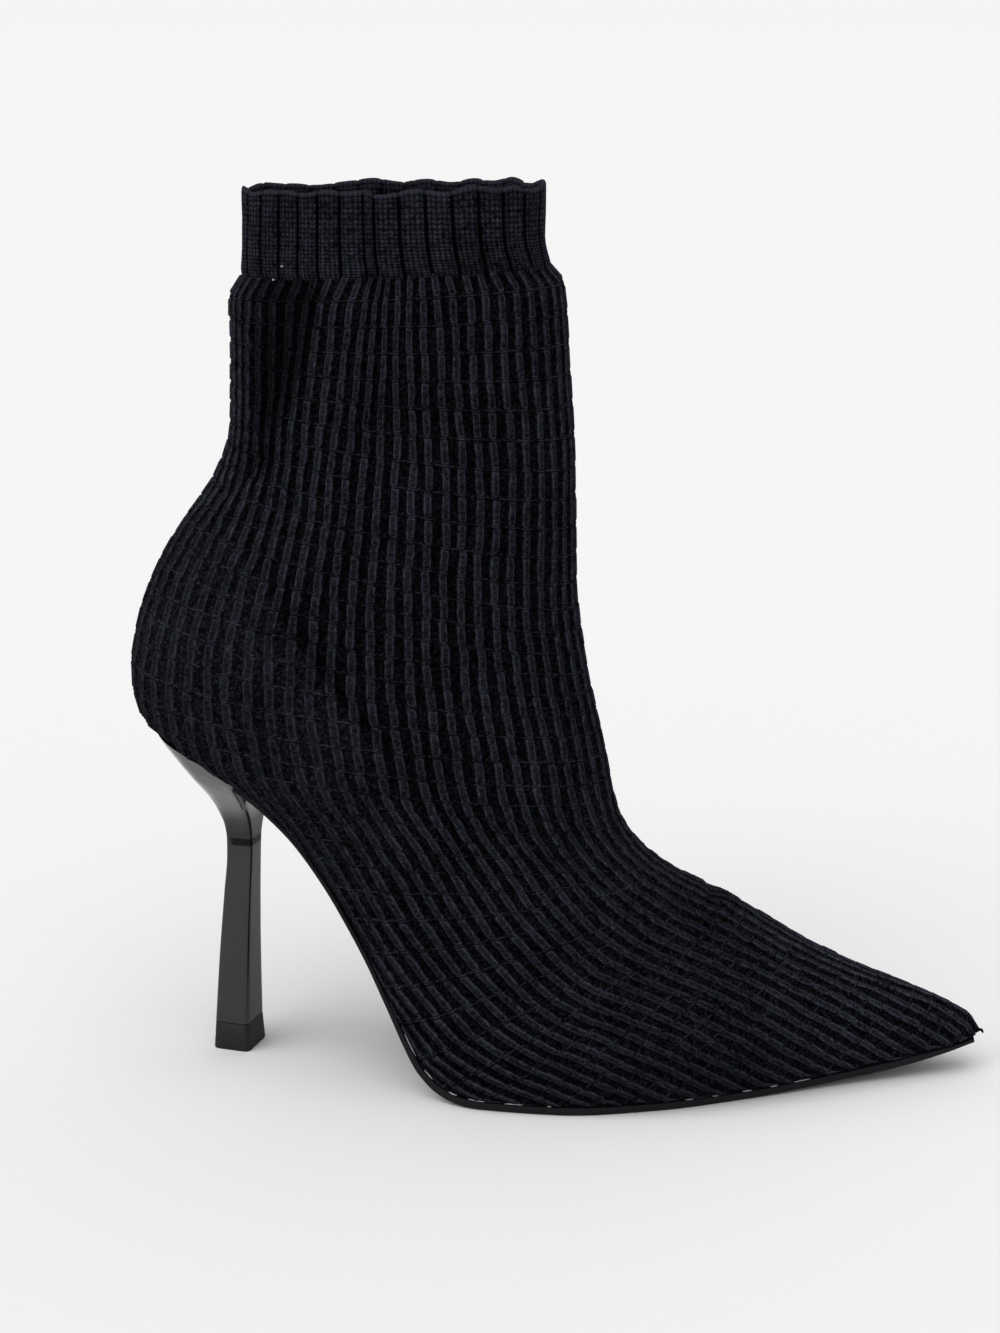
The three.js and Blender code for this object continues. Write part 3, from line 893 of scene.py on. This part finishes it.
def knit_body():
    rows = course_rows()
    phases = [r[0] for r in rib_profile]
    heights = [r[1] for r in rib_profile]
    columns = []
    for rib in range(-(leg_ribs // 2), leg_ribs // 2 + 1):
        for phase, height in zip(phases, heights):
            columns.append((rib + phase, height))
    index = np.array([c[0] for c in columns])
    rise = np.array([c[1] for c in columns])
    half_count = leg_ribs / 2
    spare = ring_arc(turn_in)[1][-1] - float(read_table(rib_pitch, turn_in, 1)) * half_count
    count = len(index)
    t_all = np.empty((len(rows), count))
    turn_all = np.empty((len(rows), count))
    edge_all = np.empty((len(rows), count))
    clamped = np.zeros((len(rows), count), bool)
    course_all = np.empty((len(rows), count))
    for i, (t, course, dip, in_gap) in enumerate(rows):
        turns, arc, feather = ring_arc(t)
        pitch = float(read_table(rib_pitch, t, 1))
        if t <= turn_in:
            reach = arc[-1]
            extra = reach - pitch * half_count
        else:
            reach = feather
            extra = spare * (1 - float(smoothstep(t, turn_in, 0.74)))
        wander = 0.05 * waves(index, course, 5) + 0.03 * waves(index, course, 6, 7, 0.8, 1.9)
        wander = wander + fold_shift(index, t) + block_shift(index, course)
        place = np.abs(index + wander * smoothstep(half_count - np.abs(index), 0.1, 2.0))
        s = place * pitch + extra * (place / half_count) ** back_spread
        clamped[i] = s >= reach
        s = np.minimum(s, reach)
        turn = np.interp(s, arc, turns)
        turn_all[i] = np.where(index < 0, turn, 1 - turn)
        t_all[i] = t
        edge_all[i] = reach - s if t > turn_in else 9.0
        course_all[i] = course
    dip = np.array([r[2] for r in rows])[:, None]
    in_gap = np.array([r[3] for r in rows])[:, None]
    base = upper_point(t_all, turn_all)
    normal = upper_normal(t_all, turn_all)
    counter = counter_mask(base)
    toe = toe_mask(base)
    foot = smoothstep(base[..., 0], 70.0, 120.0)
    relief = 1.5 - 0.45 * foot - 0.70 * counter
    on_rib = 1 - dip * (0.75 - 0.45 * foot)
    uneven = np.array([1 + 0.16 * block_value(height_of_block, index, r[1]) for r in rows])
    profile = np.maximum(rise[None, :] * on_rib, in_gap) * relief * uneven
    lift = profile - 0.55 * relief
    lift = lift + 0.6 * counter + 0.5 * toe + crease_lift(base)
    lift = lift + 0.16 * waves(index[None, :], course_all, 9)
    start = (t_all - cuff_line(turn_all)) * 370.0
    lift = lift + counter_hollow(base) + toe_dip(base)
    lift = lift - 1.0 * (1 - smoothstep(start, -0.8, 1.2))
    lift = lift * smoothstep(edge_all, 0.0, 1.3) - 0.15 * (1 - smoothstep(edge_all, 0.0, 1.3))
    end = smoothstep(t_all, 0.955, 1.0)
    lift = lift - 0.5 * end
    points = base + normal * lift[..., None]
    middle = points.mean(axis=1, keepdims=True)
    points = middle + (points - middle) * (1 - 0.22 * end ** 2)[..., None]
    points = points.reshape(-1, 3)
    skip = np.zeros((len(rows) - 1, count), bool)
    nxt = np.roll(clamped, -1, axis=1)
    wrap_cut = np.array([r[0] > turn_in for r in rows])
    four = clamped[:-1] & clamped[1:] & nxt[:-1] & nxt[1:]
    skip |= four
    skip[:, -1] = wrap_cut[1:]
    faces = grid_faces(len(rows), count, closed=True, skip=skip)
    uv = np.stack([np.broadcast_to(index[None, :], course_all.shape), course_all], -1).reshape(-1, 2)
    tip = upper_point(1.0, 0.25) / 2 + upper_point(1.0, 0.75) / 2 + np.array([0.35, 0, -0.1])
    hub = len(points)
    points = np.vstack([points, tip])
    uv = np.vstack([uv, [0.0, course_all[-1, 0] + 0.1]])
    start_row = (len(rows) - 1) * count
    for j in range(count - 1):
        if not (clamped[-1, j] and clamped[-1, j + 1]):
            faces.append((start_row + j, start_row + j + 1, hub))
    along = base[..., 0]
    over_foot = smoothstep(along, 75.0, 135.0) * (1 - 0.9 * smoothstep(along, 146.0, 186.0))
    loose = np.maximum(counter, 0.75 * over_foot)
    # Painted shade and light: darkness for the troughs and folds, minus a lightening over the toe,
    # carried to the colour in the stretch map's second channel.
    dark = fold_shade(base) - 0.42 * smoothstep(along, 146.0, 184.0)
    stretch = np.stack([loose, dark], -1).reshape(-1, 2)
    stretch = np.vstack([stretch, stretch[-1]])
    return mesh_piece("knit_body", points, faces, body_knit, uv, stretch=stretch)


body = knit_body()
close_map(body, leg_ribs, 0)
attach(body, "root")
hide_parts("upper")


map_course = 7.4  # millimetres to one course of the knit map, on the cuff and inside


# Knitted cuff
def cuff_ring(t, count=900):
    turns = np.linspace(0.0, 1.0, count)
    ring = upper_point(t, turns)
    arc = np.concatenate([[0.0], np.cumsum(np.linalg.norm(np.diff(ring, axis=0), axis=1))])
    return turns, arc / arc[-1]


def cuff_edges():
    """Places of the cuff's grooves round the ring: wide ribs, with a narrow one on each side."""
    narrow = 0.0062
    wide = (0.5 - 2 * narrow) / (cuff_ribs // 2)
    edges = []
    for middle in (0.25, 0.75):
        edges.append(middle - narrow)
        for k in range(cuff_ribs // 2):
            edges.append(middle + narrow + wide * k)
    return sorted(e % 1.0 for e in edges)


def knit_cuff():
    edges = cuff_edges()
    edges.append(edges[0] + 1.0)
    spots = [
        # place across the rib, depth of the groove
        [0.0, 1.0], [0.04, 0.74], [0.09, 0.34], [0.18, 0.08], [0.34, 0.0], [0.5, 0.03],
        [0.66, 0.0], [0.82, 0.08], [0.91, 0.34], [0.96, 0.74],
    ]
    places, grooves, numbers, heights = [], [], [], []
    for i in range(len(edges) - 1):
        wide = edges[i + 1] - edges[i]
        grow = float(chance.uniform(-0.35, 0.45))
        for place, groove in spots:
            places.append((edges[i] + wide * place) % 1.0)
            grooves.append(groove * (1.0 if wide > 0.02 else 0.8))
            numbers.append(i + place)
            heights.append(grow)
    places = np.array(places)
    grooves = np.array(grooves)
    numbers = np.array(numbers)
    heights = np.array(heights)
    outer = [
        # distance down from the rim, extra depth
        [27.0, 2.6], [25.6, 1.7], [24.8, 1.0], [24.0, 0.55], [22.8, 0.25], [21.0, 0.05],
        [18.0, 0.0], [15.0, 0.0], [12.0, 0.0], [9.0, 0.0], [6.5, 0.0], [4.5, 0.0], [2.8, 0.0],
        [1.5, 0.0], [0.6, 0.06], [0.15, 0.28],
    ]
    rim = [[0.0, 0.6], [0.1, 0.95], [0.5, 1.2], [1.2, 1.3]]
    inner = [[2.5, 1.4], [4.5, 1.6], [7.0, 1.9], [10.0, 2.1], [15.0, 2.3], [20.0, 2.3],
             [25.0, 2.3], [30.0, 2.2]]
    rows = [(d, e, 1.0) for d, e in outer] + [(d, e, 0.55) for d, e in rim]
    rows += [(d, e, -0.55) for d, e in inner]
    drop = shoe_height * (sections[0][1] - sections[2][1]) / 2 * (len(sections) - 1)
    points, uvs = [], []
    for down, extra, side in rows:
        t = max(0.0, down) / drop
        turns, arc = cuff_ring(min(t, 1.0))
        from_seam = 0.5 - np.abs(places - 0.5)
        side_on = np.where(places < 0.5, 1.0, -1.0) * smoothstep(from_seam, 0.12, 0.34)
        side_on = side_on * (1 - smoothstep(from_seam, 0.44, 0.5))
        lean = 0.0105 * (down - 12.0) / 24.0 * side_on + 0.0012 * waves(numbers * 1.3, down * 0.1, 24)
        turn = np.interp((places + lean) % 1.0, arc, turns)
        t = t * cuff_line(turn) / cuff_end
        slack = 0.16 * waves(numbers * 1.6, down * 0.22, 21) + 0.10 * waves(numbers * 4, down, 22)
        depth = extra - cuff_step * 0.55 + rib_depth * grooves * side + slack
        ring = upper_point(t, turn, depth)
        ring = ring + upper_normal(t, turn) * crease_lift(ring)[:, None]
        near_rim = float(1 - smoothstep(down, 0.0, 4.0))
        flat = 0.0 * numbers
        roll = 0.20 * waves(numbers * 2.2, flat, 23) + 0.55 * waves(numbers * 9.0, flat, 25)
        ring[:, 2] += (0.1 + 0.2 * heights + roll - 0.25 * grooves) * near_rim
        points.append(ring)
        total = down if side > -0.1 else -down
        uvs.append(np.stack([numbers, np.full(len(numbers), -total / map_course)], -1))
    points = np.concatenate(points)
    uvs = np.concatenate(uvs)
    cols = len(places)
    faces = grid_faces(len(rows), cols, closed=True)
    piece = mesh_piece("knit_cuff", points, faces, cuff_knit, uvs)
    ribs = len(edges) - 1
    close_map(piece, ribs, ribs / 2)
    return piece


cuff = knit_cuff()
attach(cuff, "root")


# Inside of the knit, and the knit drawn in under the last
def knit_lining():
    count = 120
    rows = 130
    row_length = 2.6
    shares = np.linspace(0.075, toe_hollow, rows)
    turn = np.linspace(0.0, 1.0, count, endpoint=False)
    tt, uu = np.meshgrid(shares, turn, indexing="ij")
    base = upper_point(tt, uu)
    points = upper_point(tt, uu, wall + 0.3) + upper_normal(tt, uu) * crease_lift(base)[..., None]
    floor = bed_at(points[..., 0])
    points[..., 2] = np.where((points[..., 2] < floor) & (tt > 0.3), floor, points[..., 2])
    arcs = np.cumsum(np.full(rows, row_length))[:, None] + 0 * uu
    uv = np.stack([uu * leg_ribs, arcs / map_course], -1).reshape(-1, 2)
    faces = [tuple(reversed(f)) for f in grid_faces(rows, count, closed=True)]
    return mesh_piece("knit_inside", points.reshape(-1, 3), faces, inside_knit, uv)


def under_sheet():
    """The knit's margin under the last, between the feather lines."""
    shares = np.linspace(turn_in + 0.0005, 1.0, 120)
    points, uv = [], []
    for i, t in enumerate(shares):
        turns, arc, feather = ring_arc(float(t), 500)
        turn = float(np.interp(feather, arc, turns))
        edge = upper_point(float(t), turn)
        x = float(edge[0])
        half = abs(float(edge[1]) - float(swing_at(x)))
        bx, bz = bed_offset(x, 0.05)
        for k in range(9):
            side = -1 + 2 * k / 8
            points.append((bx, float(swing_at(x)) + side * (half - 0.1), bz))
            uv.append((side * half / 5.0, i * 0.35))
    faces = grid_faces(len(shares), 9)
    return mesh_piece("knit_under", points, faces, inside_knit, uv)


for piece in (knit_lining(), under_sheet()):
    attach(piece, "root")


# Small fibres: pale dashes at the seam, partly thread and partly painted glints on the glue, a twist
# of yarn at the toe and two bits of lint
seam_thread_glint_dashes = [
    # from x, to x
    [56.1, 59.5], [62.1, 64.6], [69.4, 72.0], [75.3, 80.3], [86.0, 91.6], [98.5, 99.7],
    [138.0, 141.1], [145.8, 148.7], [154.5, 157.4], [162.6, 165.0], [169.7, 174.5],
]


def tube(path, radii, sides=6):
    """Points and faces of a closed tube along a path."""
    path = np.asarray(path, float)
    points = []
    for i, spot in enumerate(path):
        way = path[min(i + 1, len(path) - 1)] - path[max(i - 1, 0)]
        way /= np.linalg.norm(way)
        a = np.cross(way, [0.0, 0.3, 1.0])
        a /= np.linalg.norm(a)
        b = np.cross(way, a)
        for k in range(sides):
            angle = 2 * np.pi * k / sides
            points.append(spot + radii[i] * (a * np.cos(angle) + b * np.sin(angle)))
    faces = grid_faces(len(path), sides, closed=True)
    faces.append(tuple(range(sides - 1, -1, -1)))
    faces.append(tuple(len(path) * sides - sides + k for k in range(sides)))
    return points, faces


def fibre_piece(name, tubes, material):
    points, faces = [], []
    for path, radii in tubes:
        more, sides = tube(path, radii)
        faces += [tuple(v + len(points) for v in f) for f in sides]
        points += more
    return mesh_piece(name, points, faces, material, uv=np.zeros((len(points), 2)))


def seam_line():
    """Places just above the sole on the outer side, as the seam shows."""
    line = []
    for t in np.linspace(0.6, 0.98, 200):
        turns, arc, feather = ring_arc(float(t), 500)
        turn = float(np.interp(feather - 0.9, arc, turns))
        line.append(upper_point(float(t), turn) + upper_normal(float(t), turn) * 0.42)
    return np.array(line)


def thread_and_glint_material():
    """Pale thread and lint; on the seam dashes the pale colour is partly a painted glint."""
    material, n, shader = new_material("pale thread and painted glint")
    fuzzy = add_fuzz(n, 3.0, 0.2)
    shade = n.mix_color(fuzzy.outputs["Fine"], (0.10, 0.10, 0.11, 1), (0.42, 0.42, 0.44, 1))
    n.link(shade, shader.inputs["Base Color"])
    n.link(n.scaled(fuzzy.outputs["Fine"], 0.2, 0.5), shader.inputs["Roughness"])
    return material


pale_thread_and_glint = thread_and_glint_material()
seam = seam_line()
thread_and_glint_tubes = []
# The seam dashes: pale tubes that are partly thread and partly painted glints along the seam.
for start, stop in seam_thread_glint_dashes:
    xs = np.linspace(start, stop, 6)
    path = np.stack([xs] + [np.interp(xs, seam[:, 0], seam[:, axis]) for axis in (1, 2)], -1)
    path[:, 2] += 0.12 * chance.uniform(-1, 1, 6)
    thread_and_glint_tubes.append((path, [0.06, 0.17, 0.2, 0.2, 0.16, 0.06]))
lint_places = [
    # x, distance down from the rim
    [23.3, 19.4], [20.6, 24.6],
]
for x, down in lint_places:
    share = down / (cuff_height / cuff_end)
    ring_turns = np.linspace(0.02, 0.48, 200)
    ring_x = upper_point(share, ring_turns)[:, 0]
    spot = upper_point(share, float(np.interp(x, ring_x, ring_turns)), -0.75)
    path = spot + np.array([[-0.3, 0, -0.1], [-0.12, -0.1, 0.1], [0.12, -0.1, 0.1], [0.3, 0, -0.1]])
    thread_and_glint_tubes.append((path, [0.12, 0.28, 0.28, 0.12]))
threads_and_glints = fibre_piece("seam_thread_and_glint", thread_and_glint_tubes, pale_thread_and_glint)
twist_path = [[224.4, 0.1, 11.6], [225.4, 0.1, 12.2], [226.2, 0.1, 12.1], [226.7, 0.1, 11.2]]
twist = fibre_piece("toe_twist", [(twist_path, [0.7, 0.6, 0.5, 0.25])], inside_knit)
for piece in (threads_and_glints, twist):
    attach(piece, "root")


# Sole
def sole_edge():
    """The outsole in fine steps, from the toe to the front of the heel."""
    shares = np.linspace(turn_in + 0.004, 1.0, 320)
    rings = []
    for t in shares:
        turns, arc, feather = ring_arc(float(t), 600)
        turn = float(np.interp(feather, arc, turns))
        edge = upper_point(float(t), turn)
        x = float(edge[0])
        half = abs(float(edge[1]) - float(swing_at(x)))
        tread = float(smoothstep(x, waist_end, waist_end + 24))
        thick = waist_thick + (sole_thick - waist_thick) * tread
        thick *= 1 - 0.5 * float(smoothstep(x, 200.0, 224.0))
        out = sole_lip * float(smoothstep(x, seat_front, waist_end))
        r = min(0.7, half / 3)
        wide = max(0.9, half + out)
        low = fit_gap + thick
        rows = [(r * 0.5, fit_gap), (r * 0.15, fit_gap + 0.12 * r), (0.0, fit_gap + 0.45 * r),
                (0.0, fit_gap + thick * 0.45), (0.0, low - r), (0.1 * r, low - 0.6 * r),
                (0.4 * r, low - 0.22 * r), (r, low)]
        ring = []
        places = [(inset - wide, depth) for inset, depth in rows]
        places += [(share * (wide - r), low) for share in (-0.5, 0.0, 0.5)]
        places += [(wide - inset, depth) for inset, depth in reversed(rows)]
        for aside, depth in places:
            bx, bz = bed_offset(x, depth)
            ring.append((float(bx), float(swing_at(x)) + aside, float(bz)))
        rings.append(ring)
    rings = np.array(rings)
    ahead = rings[..., 0] * math.cos(heel_turn) + rings[..., 1] * math.sin(heel_turn)
    steps = np.arange(len(shares), dtype=float)
    cols = rings.shape[1]
    count = 260
    trimmed = np.empty((count, cols, 3))
    for j in range(cols):
        first = int(np.argmax(ahead[:, j] > seat_front + fit_gap))
        if first > 0:
            a, b = ahead[first - 1, j], ahead[first, j]
            begin = first - 1 + (seat_front + fit_gap - a) / (b - a)
        else:
            begin = 0.0
        where = begin + (len(shares) - 1 - begin) * np.linspace(0, 1, count)
        for c in range(3):
            trimmed[:, j, c] = np.interp(where, steps, rings[:, j, c])
    faces = grid_faces(count, cols, closed=True)
    points = trimmed.reshape(-1, 3)
    faces.append(tuple(range(cols - 1, -1, -1)))
    faces.append(tuple(range((count - 1) * cols, count * cols)))
    return mesh_piece("sole_sheet", points, faces, sole_rubber, smooth_angle=50)


sole = sole_edge()
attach(sole, "root")
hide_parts("outsole")


# Heel
heel_points = 160


def heel_outline(row, grow):
    """One level of the heel in its own axes, turned to the boot."""
    angle = (np.arange(heel_points) + 0.5) / heel_points * 2 * np.pi
    c, s = np.cos(angle), np.sin(angle)
    square = np.where(c > 0, heel_front_square, row[4])
    reach = (row[2] - row[1]) / 2 + grow
    a = (row[1] + row[2]) / 2 + np.sign(c) * np.abs(c) ** (2 / square) * reach
    b = np.sign(s) * np.abs(s) ** (2 / square) * (row[3] + grow)
    x = a * math.cos(heel_turn) - b * math.sin(heel_turn)
    y = a * math.sin(heel_turn) + b * math.cos(heel_turn)
    return x, y


def heel_row(level):
    return [level] + [float(read_table(heel_rows, level, c)) for c in (1, 2, 3, 4)]


def seat_height(x):
    """Height of the underside of the seat over a place along the boot."""
    line = np.linspace(-60.0, 80.0, 561)
    sx, sz = bed_offset(line, fit_gap)
    order = np.argsort(sx)
    return np.interp(x, sx[order], sz[order])


def heel_block():
    levels = np.linspace(heel_rows[0][0], 1.12, 240)
    outlines = [heel_outline(heel_row(float(v)), 0.0) for v in levels]
    xs = np.array([o[0] for o in outlines])
    ys = np.array([o[1] for o in outlines])
    zs = levels[:, None] * heel_span * np.ones_like(xs)
    over = zs - seat_height(xs)
    count = xs.shape[1]
    steps = np.arange(len(levels), dtype=float)
    rows = 120
    points = np.empty((rows, count, 3))
    for j in range(count):
        first = int(np.argmax(over[:, j] > 0))
        a, b = over[first - 1, j], over[first, j]
        end = first - 1 + a / (a - b)
        where = np.linspace(0, end, rows)
        points[:, j, 0] = np.interp(where, steps, xs[:, j])
        points[:, j, 1] = np.interp(where, steps, ys[:, j])
        points[:, j, 2] = np.interp(where, steps, zs[:, j])
    faces = [tuple(reversed(f)) for f in grid_faces(rows, count, closed=True)]
    faces.append(tuple(range(count)))
    faces.append(tuple((rows - 1) * count + k for k in range(count - 1, -1, -1)))
    return mesh_piece("heel_block", points.reshape(-1, 3), faces, heel_lacquer, smooth_angle=35)


def heel_top_piece():
    top = tip_height - fit_gap
    rows = [(0.0, -0.15 + tip_flare), (0.35, tip_flare), (top * 0.5, tip_flare * 0.5),
            (top - 0.3, 0.02), (top, -0.25)]
    points = []
    for z, grow in rows:
        x, y = heel_outline(heel_rows[0], grow)
        points += [(px, py, z) for px, py in zip(x, y)]
    count = heel_points
    faces = [tuple(reversed(f)) for f in grid_faces(len(rows), count, closed=True)]
    faces.append(tuple(range(count)))
    faces.append(tuple((len(rows) - 1) * count + k for k in range(count - 1, -1, -1)))
    return mesh_piece("top_piece", points, faces, top_piece, smooth_angle=40)


heel = heel_block()
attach(heel, "root")
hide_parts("heel")
tip = heel_top_piece()
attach(tip, "root")
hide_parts("heel_tip")

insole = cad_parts["insole"]
insole.data.materials.clear()
insole.data.materials.append(insole_cover)


# Floor, light and camera
def studio():
    material, n, shader = new_material("studio floor")
    shader.inputs["Base Color"].default_value = (0.612, 0.612, 0.612, 1)
    shader.inputs["Roughness"].default_value = 0.9
    shader.inputs["Specular IOR Level"].default_value = 0.0
    reach = 150000.0
    count = 13
    spots = np.linspace(-reach, reach, count)
    points = [(x, y, 0.0) for x in spots for y in spots]
    floor = mesh_piece("studio_floor", points, grid_faces(count, count), material)
    world = bpy.data.worlds.new("studio")
    bpy.context.scene.world = world
    world.use_nodes = True
    background = world.node_tree.nodes["Background"]
    background.inputs["Color"].default_value = (1.0, 1.0, 1.0, 1)
    background.inputs["Strength"].default_value = 0.91

    def soft_sun(name, direction, strength, angle):
        light = bpy.data.lights.new(name, "SUN")
        light.energy = strength
        light.angle = math.radians(angle)
        lamp = bpy.data.objects.new(name, light)
        bpy.context.scene.collection.objects.link(lamp)
        aim = np.array(direction, float)
        flat = math.hypot(aim[0], aim[1])
        lamp.rotation_euler = (math.atan2(flat, -aim[2]), 0, math.atan2(aim[1], aim[0]) - math.pi / 2)

    soft_sun("key", (0.75, 0.45, -1.0), 1.1, 50)
    soft_sun("top", (0.1, 0.35, -1.0), 1.1, 60)

    camera = bpy.data.cameras.new("camera")
    camera.sensor_fit = "HORIZONTAL"
    camera.sensor_width = 36
    camera.lens = 90
    view = bpy.data.objects.new("camera", camera)
    view.location = (0.1430, -0.7112, 0.305)
    view.rotation_euler = (math.radians(75.6), 0, math.radians(5))
    bpy.context.scene.collection.objects.link(view)
    bpy.context.scene.camera = view


studio()
bpy.context.scene.view_settings.view_transform = "Standard"
